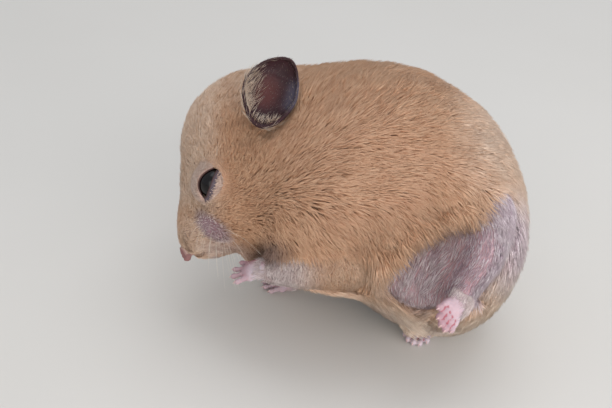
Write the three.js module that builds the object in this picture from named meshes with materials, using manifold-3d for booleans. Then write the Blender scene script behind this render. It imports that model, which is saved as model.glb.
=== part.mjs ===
// A Syrian hamster, sitting hunched over with its head bowed, leaning on its right side.
// Units are millimetres. The body is shaped in the animal's own frame: +X runs to the rump, +Y to the
// animal's right and +Z to its back. It is then leaned over and stood on the floor at z = 0.

import * as THREE from "three";
import { mergeVertices } from "three/addons/utils/BufferGeometryUtils.js";
import Module from "manifold-3d";

const wasm = await Module();
wasm.setup();

// ---------------------------------------------------------------- driving dimensions

const LEAN_DEG = 30; // how far the animal leans over on its right side
const STOOP_DEG = 5; // how far it then tips forward on its rump
const HEART_HEIGHT = 30; // the middle of the trunk above the floor
const GAP = 0.3; // between neighbouring pieces
const FAR = 200; // longer than the animal, for cutting tools

const LEFT = -1; // the side a piece is on, as the sign of its Y
const RIGHT = 1;

// ---------------------------------------------------------------- shapes as distance fields

const clamp = THREE.MathUtils.clamp;
const radians = THREE.MathUtils.degToRad;
const vec = (x, y, z) => new THREE.Vector3(x, y, z);

// An ellipsoid, turned about Y by a number of degrees that lifts its front end.
function ellipsoid([cx, cy, cz], [rx, ry, rz], turnDeg = 0) {
  const c = Math.cos(radians(turnDeg));
  const s = Math.sin(radians(turnDeg));
  return (x, y, z) => {
    const dx = x - cx;
    const dz = z - cz;
    const u = (dx * c - dz * s) / rx;
    const v = (y - cy) / ry;
    const w = (dx * s + dz * c) / rz;
    const near = Math.hypot(u, v, w);
    const steep = Math.hypot(u / rx, v / ry, w / rz);
    return steep > 0 ? (near * (near - 1)) / steep : -Math.min(rx, ry, rz);
  };
}

// A limb: round cones through a list of points [x, y, z, radius].
function limb(...points) {
  return (x, y, z) => {
    let best = Infinity;
    for (let i = 1; i < points.length; i++) {
      const [ax, ay, az, ar] = points[i - 1];
      const [bx, by, bz, br] = points[i];
      const ex = bx - ax;
      const ey = by - ay;
      const ez = bz - az;
      const along = ((x - ax) * ex + (y - ay) * ey + (z - az) * ez) / (ex * ex + ey * ey + ez * ez);
      const t = clamp(along, 0, 1);
      const far = Math.hypot(x - ax - t * ex, y - ay - t * ey, z - az - t * ez);
      best = Math.min(best, far - (ar + t * (br - ar)));
    }
    return best;
  };
}

// Two or more fields run together, with a fillet of about the given size.
function blend(size, ...fields) {
  return (x, y, z) => {
    let all = fields[0](x, y, z);
    for (let i = 1; i < fields.length; i++) {
      const next = fields[i](x, y, z);
      const h = Math.max(size - Math.abs(all - next), 0) / size;
      all = Math.min(all, next) - (h * h * size) / 4;
    }
    return all;
  };
}

// A field with another one pressed into it, with a rounded rim.
function pressed(size, field, tool) {
  return (x, y, z) => {
    const a = field(x, y, z);
    const b = -tool(x, y, z);
    const h = Math.max(size - Math.abs(a - b), 0) / size;
    return Math.max(a, b) + (h * h * size) / 4;
  };
}

// The same shape on both sides of the body.
const pair = (make, [x, y, z], ...rest) => [make([x, -y, z], ...rest), make([x, y, z], ...rest)];

// ---------------------------------------------------------------- fields into solids

function solidOf(geometry) {
  const bare = geometry.clone();
  bare.deleteAttribute("normal");
  bare.deleteAttribute("uv");
  const merged = mergeVertices(bare, 1e-4);
  return new wasm.Manifold(
    new wasm.Mesh({
      numProp: 3,
      vertProperties: merged.attributes.position.array,
      triVerts: new Uint32Array(merged.index.array),
    }),
  );
}

function geometryOf(solid) {
  const mesh = solid.getMesh();
  const geometry = new THREE.BufferGeometry();
  geometry.setAttribute("position", new THREE.BufferAttribute(mesh.vertProperties, 3));
  geometry.setIndex(new THREE.BufferAttribute(mesh.triVerts, 1));
  return geometry;
}

// The surface of a field as seen from a point inside it: each corner of a ball of triangles is moved
// out from that point until it meets the surface, which lies "swell" outside the field's own. A long
// shape gives its direction as "along", so that the triangles spread evenly from end to end.
function grown(field, [cx, cy, cz], detail, swell = 0, along = vec(0, 0, 0)) {
  const STEP = 0.5;
  const HALVINGS = 14;
  const ball = new THREE.IcosahedronGeometry(1, detail);
  const place = ball.getAttribute("position");
  const found = new Map();
  for (let i = 0; i < place.count; i++) {
    const d = vec(place.getX(i), place.getY(i), place.getZ(i));
    d.addScaledVector(along, d.dot(along)).normalize();
    const key = d.toArray().map((n) => Math.round(n * 1e5)).join();
    if (!found.has(key)) {
      const outside = (t) => field(cx + d.x * t, cy + d.y * t, cz + d.z * t) > swell;
      let high = STEP;
      while (!outside(high) && high < FAR) high += STEP;
      let low = high - STEP;
      for (let n = 0; n < HALVINGS; n++) {
        const middle = (low + high) / 2;
        if (outside(middle)) high = middle;
        else low = middle;
      }
      found.set(key, vec(cx, cy, cz).addScaledVector(d, low));
    }
    place.setXYZ(i, ...found.get(key).toArray());
  }
  return solidOf(ball);
}

// Everything on the side of a plane that its normal points to, as far as the animal goes.
function beyond([x, y, z], [nx, ny, nz], shift = 0) {
  const box = new THREE.BoxGeometry(FAR, FAR, FAR);
  box.translate(0, 0, FAR / 2 + shift);
  box.applyQuaternion(
    new THREE.Quaternion().setFromUnitVectors(vec(0, 0, 1), vec(nx, ny, nz).normalize()),
  );
  box.translate(x, y, z);
  return solidOf(box);
}

// A solid parted by a plane: [the side its normal points to, the other side], with a gap between.
function parted(solid, at, [nx, ny, nz]) {
  return [
    solid.intersect(beyond(at, [nx, ny, nz], GAP / 2)),
    solid.intersect(beyond(at, [-nx, -ny, -nz], GAP / 2)),
  ];
}

// ---------------------------------------------------------------- the body as one field

const HEART = [4, 0, 3];
const HEAD_MIDDLE = [-24, 0, 8];

const barrel = blend(
  9,
  ellipsoid([-12, 0, 12], [16.5, 17.5, 19.4]), // neck
  ellipsoid([2, 0, 6.5], [25, 26.5, 24.8]), // ribs and withers
  ellipsoid([10.5, 0, 5.6], [25, 27, 25.4]), // back and loins
  ellipsoid([22.2, 0, -4.6], [19.6, 26, 26]), // rump
);
const haunches = [
  ellipsoid([26, -13, -6], [12, 12.5, 14]), // the left, lifted
  ellipsoid([19, 13, -14], [17, 13, 16]), // the right, which bears the weight
];
const shoulders = pair(ellipsoid, [-3.5, 13, -5], [13.5, 12.5, 14.5]);
const groin = ellipsoid([17.5, -28, -12.5], [16, 10, 8], -42); // bare skin under the flank's long fur
const trunkField = pressed(3, blend(7, barrel, ...haunches, ...shoulders), groin);

const skull = blend(
  7,
  ellipsoid([-21.5, 0, 13.1], [17, 14.6, 18.2]), // brow and crown
  ellipsoid([-30.6, 0, -2.6], [8.4, 8.2, 10.8]), // muzzle
  ...pair(ellipsoid, [-22.6, 8.2, -0.2], [8.8, 7.6, 9.2]), // cheeks
);
const headField = blend(
  3,
  skull,
  ...pair(ellipsoid, [-32.2, 4.6, -6], [6.2, 4.8, 5.6]), // whisker pads
  ellipsoid([-36.4, 0, -11.4], [2.8, 3, 3.9]), // tip of the nose
  ellipsoid([-28.5, 0, -7], [5, 5, 4.2]), // chin
);

const earHollows = pair(ellipsoid, [-15.4, 18.2, 23.6], [6.6, 5.4, 8.6], 16);
const unhollowed = blend(4, trunkField, headField);
const bodyField = pressed(2, pressed(2, unhollowed, earHollows[0]), earHollows[1]);

// ---------------------------------------------------------------- how it stands

const stance = new THREE.Matrix4()
  .makeRotationFromEuler(new THREE.Euler(radians(-LEAN_DEG), radians(-STOOP_DEG), 0, "ZYX"))
  .setPosition(0, 0, HEART_HEIGHT);
const unstance = stance.clone().invert();

// A point or a direction given over the floor, in the animal's own frame.
const overFloor = (x, y, z) => vec(x, y, z).applyMatrix4(unstance);
const alongFloor = (x, y, z) => vec(x, y, z).transformDirection(unstance);

const ground = new THREE.BoxGeometry(FAR, FAR, FAR);
ground.translate(0, 0, -FAR / 2);
ground.applyMatrix4(unstance);
const underfoot = solidOf(ground);

// ---------------------------------------------------------------- assembling

const materials = {
  coat: new THREE.MeshStandardMaterial({ color: 0xbb8b68, roughness: 0.9, metalness: 0 }),
  skin: new THREE.MeshStandardMaterial({ color: 0xcfa3a2, roughness: 0.6, metalness: 0 }),
  ear: new THREE.MeshStandardMaterial({ color: 0x4c3436, roughness: 0.7, metalness: 0 }),
  eye: new THREE.MeshStandardMaterial({ color: 0x08070a, roughness: 0.1, metalness: 0 }),
};
const animal = new THREE.Group();
const add = (name, solid, material) => {
  const mesh = new THREE.Mesh(geometryOf(solid), material);
  mesh.name = name;
  animal.add(mesh);
};
const SIDES = [[LEFT, "left"], [RIGHT, "right"]];

// ---------------------------------------------------------------- head

const HEAD_DETAIL = 7;
const NAPE = [-8, 0, 32];
const NECK_NORMAL = [-0.963, 0, 0.268];
const EYE_RADIUS = 3.3;
const EYE_SHOWS = 1.4; // how far the ball stands out of the face
const EYE_X = -29.2;
const EYE_Z = 4.6;

const eyeball = (side, radius) => {
  let y = 0;
  while (headField(EYE_X, y, EYE_Z) < 0) y += 0.05;
  const ball = new THREE.SphereGeometry(radius, 12, 8);
  ball.translate(EYE_X, side * (y + EYE_SHOWS - EYE_RADIUS), EYE_Z);
  return solidOf(ball);
};

// The pinna: a thin egg-shaped cup, its mouth turned outward and a little forward.
function earCup(side) {
  const WIDTH = 6.2;
  const DEPTH = 3.8;
  const HEIGHT = 8.7;
  const SKIN = 0.8;
  const egg = (inset) => {
    const shape = new THREE.SphereGeometry(1, 12, 9);
    const place = shape.getAttribute("position");
    for (let i = 0; i < place.count; i++) {
      const z = place.getZ(i);
      const narrow = z < 0 ? 1 + 0.3 * z : 1;
      place.setXYZ(
        i,
        place.getX(i) * (WIDTH - inset) * narrow,
        place.getY(i) * (DEPTH - inset),
        z * (HEIGHT - inset),
      );
    }
    return shape;
  };
  const hollow = egg(SKIN).translate(0, -0.4, 0);
  const mouth = new THREE.BoxGeometry(FAR, FAR, FAR).translate(0, -FAR / 2 - 0.5, 0);
  const cup = geometryOf(solidOf(egg(0)).subtract(solidOf(hollow)).subtract(solidOf(mouth)));
  cup.rotateX(radians(-12)); // the tip leans outward
  cup.rotateZ(radians(8)); // the mouth turns forward
  cup.rotateY(radians(16)); // and the tip lies back
  cup.translate(-16.2, -18.2, 24.4);
  if (side === RIGHT) {
    cup.scale(1, -1, 1);
    const corner = cup.index.array;
    for (let i = 0; i < corner.length; i += 3) {
      [corner[i], corner[i + 1]] = [corner[i + 1], corner[i]];
    }
  }
  return solidOf(cup);
}

const headWhole = grown(bodyField, HEAD_MIDDLE, HEAD_DETAIL);
const headSwollen = grown(bodyField, HEAD_MIDDLE, HEAD_DETAIL, GAP);

let [head] = parted(headWhole, NAPE, NECK_NORMAL);
for (const [side] of SIDES) head = head.subtract(eyeball(side, EYE_RADIUS + GAP));
let [muzzle, crown] = parted(head, [-31, 0, -1.4], [-0.3, 0, -0.954]);
const [nose, snout] = parted(muzzle, [-35.8, 0, -12.4], [-0.75, 0, -0.66]);
const [lowerJaw, bridge] = parted(snout, [-34.8, 0, -12.2], [0.406, 0, -0.914]);

add("head", crown, materials.coat);
add("muzzle", bridge, materials.coat);
add("lower_jaw", lowerJaw, materials.coat);
add("nose", nose, materials.skin);

// ---------------------------------------------------------------- paws

// A paw lying flat along +X with its back up: toes fan out from the ball of the foot, each with a
// small claw. "heel" is how far the sole runs back, "toes" the length of each toe across the foot.
function paw({ heel, palm, toes, toeRadius, spread }, swell = 0) {
  const sole = new THREE.SphereGeometry(1, 10, 6).rotateX(Math.PI / 2);
  sole.scale(heel / 2 + palm.length + swell, palm.width + swell, palm.height + swell);
  sole.translate(-heel / 2, 0, palm.height);
  let whole = solidOf(sole);
  toes.forEach((length, i) => {
    const across = i / (toes.length - 1) - 0.5; // -0.5 to 0.5
    const turn = radians(-across * spread);
    const toe = new THREE.CapsuleGeometry(toeRadius + swell, length, 2, 5).rotateZ(Math.PI / 2);
    toe.translate(length / 2, 0, 0).rotateZ(-turn);
    const root = palm.length - 1.2 - 2.2 * across * across;
    const side = across * (2 * palm.width - toeRadius * 1.7);
    toe.translate(root, side, toeRadius);
    const claw = new THREE.ConeGeometry(0.36 + swell, 1.5 + 2 * swell, 4).rotateZ(-Math.PI / 2).rotateY(radians(22));
    claw.translate(length + toeRadius + 0.35, 0, -0.1).rotateZ(-turn).translate(root, side, toeRadius);
    whole = whole.add(solidOf(toe)).add(solidOf(claw));
  });
  return whole;
}

const FOREPAW = {
  heel: 2.2,
  palm: { length: 2.6, width: 2.7, height: 1.35 },
  toes: [2.4, 3.1, 3.1, 2.4],
  toeRadius: 0.85,
  spread: 34,
};
const HIND_FOOT = {
  heel: 8,
  palm: { length: 3.4, width: 3.2, height: 1.6 },
  toes: [2.6, 3.7, 4, 3.7, 2.4],
  toeRadius: 0.95,
  spread: 30,
};

// A paw set down at a point, its toes along "forward" and its back to "up".
function placed(solid, at, forward, up) {
  const across = up.clone().cross(forward).normalize();
  const back = forward.clone().cross(across);
  const frame = new THREE.Matrix4().makeBasis(forward, across, back).setPosition(at);
  return solidOf(geometryOf(solid).applyMatrix4(frame));
}

// ---------------------------------------------------------------- legs and tail

const limbs = {
  foreleg_left: {
    points: [[-1, -17.5, -12, 6], [-8, -18.5, -13.8, 4.3], [-16.8, -14.5, -14.8, 3]],
    middle: [-8.2, -17.8, -13.6],
  },
  foreleg_right: {
    points: [[-1, 15, -11, 6], [-4, 18, -17, 4.4], [...overFloor(-8.4, 6.6, 3), 2.7]],
    middle: [-4.6, 17.4, -16.2],
  },
  shank_left: {
    points: [[31.5, -20.5, -1.5, 4.4], [29.6, -22, -9, 3.6], [25, -20.5, -17.2, 2.9]],
    middle: [29.2, -21.3, -8.8],
  },
  shank_right: {
    points: [[...overFloor(12, 4, 7), 5.5], [...overFloor(23.6, 0, 5), 3.4]],
    middle: overFloor(17, 2.3, 6.1).toArray(),
  },
  tail: {
    points: [[31, 4, -15, 3.4], [35.6, 7, -20.5, 2.3], [34.6, 9, -26, 1.4]],
    middle: [34.4, 6.6, -19.6],
  },
};

const paws = {
  forepaw_left: {
    shape: FOREPAW,
    at: vec(-19.6, -13.2, -15.2),
    forward: vec(-0.94, 0.3, -0.15).normalize(),
    up: vec(0.1, -0.7, 0.7).normalize(),
    on: "foreleg_left",
  },
  forepaw_right: {
    shape: FOREPAW,
    at: overFloor(-13, 6, -0.2),
    forward: alongFloor(-1, -0.15, 0),
    up: alongFloor(0, 0, 1),
    on: "foreleg_right",
  },
  hind_foot_left: {
    shape: HIND_FOOT,
    at: vec(22.2, -23.5, -21),
    forward: vec(-0.45, -0.8, -0.4).normalize(),
    up: vec(0.74, -0.57, 0.3).normalize(),
    on: "shank_left",
  },
  hind_foot_right: {
    shape: HIND_FOOT,
    at: overFloor(21.5, -6.5, -0.2),
    forward: alongFloor(-0.35, -0.94, 0),
    up: alongFloor(0, 0, 1),
    on: "shank_right",
  },
};

const LIMB_DETAIL = 2;
for (const entry of Object.values(limbs)) {
  const { points, middle } = entry;
  const along = vec(...points.at(-1)).sub(vec(...points[0])).normalize();
  entry.solid = grown(limb(...points), middle, LIMB_DETAIL, 0, along).subtract(underfoot);
  entry.swollen = grown(limb(...points), middle, LIMB_DETAIL, GAP, along);
}
for (const entry of Object.values(paws)) {
  const { shape, at, forward, up, on } = entry;
  entry.solid = placed(paw(shape), at, forward, up).subtract(underfoot).subtract(limbs[on].swollen);
  entry.swollen = placed(paw(shape, GAP), at, forward, up);
}

// ---------------------------------------------------------------- trunk

const TRUNK_DETAIL = 7;
const NECK_BACK = [0, 0, 32];

let trunkWhole = grown(bodyField, HEART, TRUNK_DETAIL).subtract(underfoot);
for (const { swollen } of [...Object.values(limbs), ...Object.values(paws)]) {
  trunkWhole = trunkWhole.subtract(swollen);
}

const [, body] = parted(trunkWhole, NAPE, NECK_NORMAL);
const [neck, chestAndBack] = parted(body, NECK_BACK, NECK_NORMAL);
const [chest, hind] = parted(chestAndBack, [5, 0, 0], [-1, 0, 0.15]);
const [rump, loins] = parted(hind, [19, 0, 0], [1, 0, 0.15]);

add("neck", neck, materials.coat);
add("chest", chest, materials.coat);
add("loins", loins, materials.coat);
add("rump", rump, materials.coat);

for (const [side, name] of SIDES) {
  add(`ear_${name}`, earCup(side).subtract(headSwollen).subtract(neck), materials.ear);
  add(`eye_${name}`, eyeball(side, EYE_RADIUS), materials.eye);
}
for (const [name, { solid }] of Object.entries(limbs)) add(name, solid, materials.coat);
for (const [name, { solid }] of Object.entries(paws)) add(name, solid, materials.skin);

// The finished animal stands over the middle of its own footprint.
animal.applyMatrix4(stance);
const middle = new THREE.Box3().setFromObject(animal, true).getCenter(vec(0, 0, 0));
animal.position.x -= middle.x;
animal.position.y -= middle.y;

const part = new THREE.Group();
part.add(animal);
export default part;
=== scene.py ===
import math

import bmesh
import bpy
import numpy as np
from mathutils import Matrix, Vector
from mathutils.bvhtree import BVHTree
from mathutils.kdtree import KDTree


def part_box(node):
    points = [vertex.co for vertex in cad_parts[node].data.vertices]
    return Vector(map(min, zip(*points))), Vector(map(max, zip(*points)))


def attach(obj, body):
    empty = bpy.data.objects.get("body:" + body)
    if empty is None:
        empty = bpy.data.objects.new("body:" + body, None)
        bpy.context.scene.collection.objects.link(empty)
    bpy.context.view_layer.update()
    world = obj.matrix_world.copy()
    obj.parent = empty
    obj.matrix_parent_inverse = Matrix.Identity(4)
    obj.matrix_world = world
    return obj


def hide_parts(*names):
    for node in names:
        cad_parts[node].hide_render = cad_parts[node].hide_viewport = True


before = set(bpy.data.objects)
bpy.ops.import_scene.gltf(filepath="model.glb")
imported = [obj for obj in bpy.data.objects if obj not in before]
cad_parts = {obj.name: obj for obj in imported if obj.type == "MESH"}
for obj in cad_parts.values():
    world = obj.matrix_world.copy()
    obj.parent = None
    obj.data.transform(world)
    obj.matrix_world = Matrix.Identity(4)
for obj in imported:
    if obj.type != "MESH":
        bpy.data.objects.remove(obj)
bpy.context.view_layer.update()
scene = bpy.context.scene

# ---------------- camera
# A long lens looks down on the animal's left side, level with the lean of its body, so that the
# whole flank, the tucked face and the lifted hind foot are seen square on.

LOOK_DOWN = math.radians(32)
TIPPED = math.radians(5)
DISTANCE = 0.230
AIM = Vector((-0.01033, 0.003545, 0.029))

across = Vector((1, 0, 0))
upward = Vector((0, math.sin(LOOK_DOWN), math.cos(LOOK_DOWN)))
toward = Vector((0, -math.cos(LOOK_DOWN), math.sin(LOOK_DOWN)))
camera_x = across * math.cos(TIPPED) + upward * math.sin(TIPPED)
camera_y = upward * math.cos(TIPPED) - across * math.sin(TIPPED)
lens = bpy.data.cameras.new("camera")
lens.lens = 58
lens.sensor_width = 36
lens.clip_start = 0.01
camera = bpy.data.objects.new("camera", lens)
camera.matrix_world = Matrix.Translation(AIM + toward * DISTANCE) @ Matrix(
    (camera_x, camera_y, toward)
).transposed().to_4x4()
scene.collection.objects.link(camera)
scene.camera = camera
scene.view_settings.view_transform = "Standard"

# ---------------- floor and light
# A plain pale studio floor under one large soft light from the front, with weaker ones from above
# and from the right, and an even pale surround.


def paint(hex_colour, strength=1.0):
    """A colour written as on a paint chart, as the linear RGBA that a socket takes."""
    parts = [int(hex_colour[i : i + 2], 16) / 255 for i in (1, 3, 5)]
    return [
        (c / 12.92 if c <= 0.04045 else ((c + 0.055) / 1.055) ** 2.4) * strength for c in parts
    ] + [1.0]


def new_material(name):
    """An empty node material: the material, its nodes, its links and its Principled shader."""
    material = bpy.data.materials.new(name)
    material.use_nodes = True
    tree = material.node_tree
    return material, tree.nodes, tree.links, tree.nodes["Principled BSDF"]


def new_piece(name, mesh):
    """An object of the scene that holds this mesh."""
    piece = bpy.data.objects.new(name, mesh)
    scene.collection.objects.link(piece)
    return piece


def set_inputs(node, values):
    """Plain values set on a node's sockets, by their names."""
    for name, value in values.items():
        node.inputs[name].default_value = value


floor_material, nodes, links, shader = new_material("studio floor")
place = nodes.new("ShaderNodeTexCoord")
cloudy = nodes.new("ShaderNodeTexNoise")
set_inputs(cloudy, {"Scale": 9, "Detail": 3})
tint = nodes.new("ShaderNodeMix")
tint.data_type = "RGBA"
tint.inputs[6].default_value = paint("#C9C5BE")
tint.inputs[7].default_value = paint("#D1CDC7")
links.new(place.outputs["Object"], cloudy.inputs["Vector"])
links.new(cloudy.outputs["Fac"], tint.inputs[0])
links.new(tint.outputs[2], shader.inputs["Base Color"])
set_inputs(shader, {"Roughness": 0.85, "Specular IOR Level": 0.2})

floor_shape = bmesh.new()
bmesh.ops.create_grid(floor_shape, x_segments=4, y_segments=4, size=2.5)
floor_mesh = bpy.data.meshes.new("floor")
floor_shape.to_mesh(floor_mesh)
floor_mesh.materials.append(floor_material)
floor = new_piece("floor", floor_mesh)

surround = bpy.data.worlds.new("surround")
surround.use_nodes = True
set_inputs(surround.node_tree.nodes["Background"], {"Color": paint("#E9EEF5"), "Strength": 0.78})
scene.world = surround


def soft_light(name, place, size, watts, colour):
    """A square panel of light, turned to face the animal."""
    panel = bpy.data.lights.new(name, "AREA")
    panel.size = size
    panel.energy = watts
    panel.color = paint(colour)[:3]
    light = bpy.data.objects.new(name, panel)
    light.matrix_world = Matrix.Translation(place) @ (Vector(place) - LIT_SPOT).to_track_quat(
        "Z", "Y"
    ).to_matrix().to_4x4()
    scene.collection.objects.link(light)


LIT_SPOT = Vector((0, 0, 0.03))
soft_light("window", (0.06, -0.52, 0.17), 0.60, 2.35, "#FFFDFA")
soft_light("ceiling", (0.10, 0.15, 0.60), 0.50, 1.3, "#F8FAFF")
soft_light("fill", (0.44, -0.28, 0.08), 0.40, 1.9, "#FBFAFF")

# ---------------- flesh
# The animal's flesh is one unbroken form from nose to tail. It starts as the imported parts, swollen
# until they touch, with finer paws set on the ends of the legs, and is then cast as a single skin.
# Sizes are in millimetres in the animal's own frame: +X to the rump, -Y its left side, +Z its back.

MM = 0.001
LEAN = math.radians(-30)
STOOP = math.radians(-5)
HEART_HEIGHT = 30
EYE_X, EYE_Z = -29.2, 4.6
SWELL = 0.22
VOXEL = 0.42

stance_turn = Matrix.Rotation(STOOP, 3, "Y") @ Matrix.Rotation(LEAN, 3, "X")
eye_boxes = [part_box("eye_left"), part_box("eye_right")]
eyes_middle = sum((low + high for low, high in eye_boxes), Vector()) / 4
heart = eyes_middle / MM - stance_turn @ Vector((EYE_X, 0, EYE_Z))  # the animal's origin, in mm
STANCE = Matrix.Translation(heart) @ stance_turn.to_4x4()
TURN = np.array(stance_turn)
HEART = np.array(heart)


def to_animal(points):
    """Points of the row frame, in metres, in the animal's frame."""
    return (points / MM - HEART) @ TURN


def to_row(points):
    """Points of the animal's frame in the row frame, in metres."""
    return (points @ TURN.T + HEART) * MM


def over_floor(x, y, z):
    """A point given over the floor below the heart, in the animal's frame."""
    return Vector(stance_turn.transposed() @ Vector((x, y, z - HEART_HEIGHT)))


def along_floor(x, y, z):
    """A direction given over the floor, in the animal's frame."""
    return stance_turn.transposed() @ Vector((x, y, z))


def frame_of(at, forward, up):
    """Where a paw stands: +X along its toes, +Z out of its back."""
    forward, up = Vector(forward).normalized(), Vector(up).normalized()
    side = up.cross(forward).normalized()
    back = forward.cross(side)
    return Matrix.Translation(Vector(at)) @ Matrix((forward, side, back)).transposed().to_4x4()


FOREPAW = dict(heel=2.2, length=2.6, width=2.7, height=1.35, radius=0.85, spread=34)
FOREPAW["toes"] = [2.4, 3.1, 3.1, 2.4]
HIND_FOOT = dict(heel=8, length=3.0, width=3.1, height=1.6, radius=1.0, spread=18)
HIND_FOOT["toes"] = [2.8, 4.0, 4.4, 4.1, 2.8]
PAWS = {
    "forepaw_left": (
        FOREPAW,
        frame_of((-19.6, -13.2, -15.2), (-0.94, 0.3, -0.15), (0.1, -0.7, 0.7)),
    ),
    "forepaw_right": (
        FOREPAW,
        frame_of(over_floor(-13, 6, -0.2), along_floor(-1, -0.15, 0), along_floor(0, 0, 1)),
    ),
    "hind_foot_left": (
        HIND_FOOT,
        frame_of((22.2, -23.5, -21), (-0.45, -0.8, -0.4), (0.74, -0.57, 0.3)),
    ),
    "hind_foot_right": (
        HIND_FOOT,
        frame_of(over_floor(21.5, -6.5, -0.2), along_floor(-0.35, -0.94, 0), along_floor(0, 0, 1)),
    ),
}
FLESH = (
    "head muzzle lower_jaw nose neck chest loins rump "
    "foreleg_left foreleg_right shank_left shank_right tail"
).split()


def toe_frames(shape):
    """The root of each toe of a paw, with +X along the toe."""
    for i, length in enumerate(shape["toes"]):
        over = i / (len(shape["toes"]) - 1) - 0.5
        root = shape["length"] - 1.2 - 2.2 * over * over
        side = over * (2 * shape["width"] - 1.7 * shape["radius"])
        turn = Matrix.Rotation(math.radians(over * shape["spread"]), 4, "Z")
        yield length, Matrix.Translation((root, side, shape["radius"])) @ turn


def ball(mesh, place, centre, radii):
    """An egg of flesh added to a mesh."""
    bmesh.ops.create_uvsphere(
        mesh,
        u_segments=16,
        v_segments=10,
        radius=1,
        matrix=place @ Matrix.Translation(centre) @ Matrix.Diagonal((*radii, 1)),
    )


# Along a toe: how far out each joint is, how fat, and how far it is lifted in mm.
TOE_JOINTS = (
    (-0.2, 0.86, 0.1), (0.1, 0.84, 0.2), (0.4, 0.86, 0.2), (0.68, 0.74, 0.06), (1, 0.9, 0),
)


def paw_flesh(mesh, shape, place):
    """Sole, pads and jointed toes of a paw."""
    heel, length, width, height, radius = (
        shape[k] for k in ("heel", "length", "width", "height", "radius")
    )
    ball(mesh, place, (-heel / 2, 0, height), (heel / 2 + length, width, height * 1.02))
    sole = (length * 0.62, width * 0.95, height * 0.78)
    ball(mesh, place, (length * 0.4, 0, height * 0.75), sole)
    for toe, root in toe_frames(shape):
        at = place @ root
        for along, fat, lift in TOE_JOINTS:
            r = radius * fat
            ball(mesh, at, (toe * along, 0, lift), (r * 1.2, r * 0.86, r * 0.95))
        ball(mesh, at, (-0.5, 0, -radius * 0.25), (1.0, 0.8, 0.8))  # the pad under each toe's root


def join_shape(whole, part):
    """One shape added to another, and freed."""
    carrier = bpy.data.meshes.new("carrier")
    part.to_mesh(carrier)
    part.free()
    whole.from_mesh(carrier)
    bpy.data.meshes.remove(carrier)


flesh_shape = bmesh.new()
for name in FLESH:
    part = bmesh.new()
    part.from_mesh(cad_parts[name].data)
    bmesh.ops.remove_doubles(part, verts=part.verts, dist=1e-6)
    bmesh.ops.recalc_face_normals(part, faces=part.faces)
    part.normal_update()
    for vert in part.verts:
        vert.co = (vert.co + vert.normal * SWELL * MM) / MM
    join_shape(flesh_shape, part)


def cast_whole(shape, voxel):
    """Overlapping closed forms cast as one even skin."""
    bmesh.ops.recalc_face_normals(shape, faces=shape.faces)
    rough_mesh = bpy.data.meshes.new("rough")
    shape.to_mesh(rough_mesh)
    shape.free()
    rough = new_piece("rough", rough_mesh)
    cast = rough.modifiers.new("cast", "REMESH")
    cast.mode = "VOXEL"
    cast.voxel_size = voxel
    graph = bpy.context.evaluated_depsgraph_get()
    made = bpy.data.meshes.new_from_object(rough.evaluated_get(graph))
    bpy.data.objects.remove(rough)
    return made


EAR = dict(width=6.1, depth=3.8, height=8.2, base=0.8, rim=0.42, at=(-16.2, -18.2, 24.3))
ear_place = (
    Matrix.Translation(EAR["at"])
    @ Matrix.Rotation(math.radians(16), 4, "Y")
    @ Matrix.Rotation(math.radians(8), 4, "Z")
    @ Matrix.Rotation(math.radians(-12), 4, "X")
)
MIRROR = Matrix.Diagonal((1, -1, 1, 1))
SIDES = (("left", Matrix.Identity(4)), ("right", MIRROR))

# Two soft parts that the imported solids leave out: loose skin below the neck, and each ear's root.
ball(flesh_shape, STANCE, (-17.3, -1, -10.6), (7.6, 9.5, 5.3))
for _, side in SIDES:
    ball(flesh_shape, STANCE @ side @ ear_place, (0.8, 5.4, -4.4), (3.8, 3.7, 3.8))
skin_mesh = cast_whole(flesh_shape, VOXEL)


def read(collection, name, width):
    """One property of every element of a mesh, as an array."""
    values = np.empty(len(collection) * width, np.float32)
    collection.foreach_get(name, values)
    return values.reshape(-1, width).astype(float) if width > 1 else values


def write_places(mesh, points):
    """Every point of a mesh moved to its place in the row frame."""
    mesh.vertices.foreach_set("co", points.astype(np.float32).ravel())
    mesh.update()


def fade(value, full, none):
    """1 where the value is at full, 0 where it is at none, and smooth between."""
    t = np.clip((value - none) / (full - none), 0, 1)
    return t * t * (3 - 2 * t)


def egg_distance(points, centre, radii, turn=0.0):
    """About how far outside an egg, in mm, each point lies. It may turn about the long way of Y."""
    d = points - np.array(centre)
    if turn:
        c, s = math.cos(math.radians(turn)), math.sin(math.radians(turn))
        d = np.stack([c * d[:, 0] - s * d[:, 2], d[:, 1], s * d[:, 0] + c * d[:, 2]], 1)
    k = np.linalg.norm(d / np.array(radii), axis=1)
    return (k - 1) * min(radii)


def limb_distance(points, *chain):
    """How far outside a chain of tapering lengths, given as x, y, z, radius, each point lies."""
    best = np.full(len(points), 1e9)
    for (ax, ay, az, ar), (bx, by, bz, br) in zip(chain, chain[1:]):
        a, run = np.array((ax, ay, az)), np.array((bx - ax, by - ay, bz - az))
        t = np.clip((points - a) @ run / (run @ run), 0, 1)
        d = np.linalg.norm(points - a - t[:, None] * run, axis=1) - (ar + (br - ar) * t)
        best = np.minimum(best, d)
    return best


def left_hand(points):
    """The same points folded onto the left side."""
    return points * (1, 0, 1) + (0, -1, 0) * np.abs(points[:, 1:2])


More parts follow.
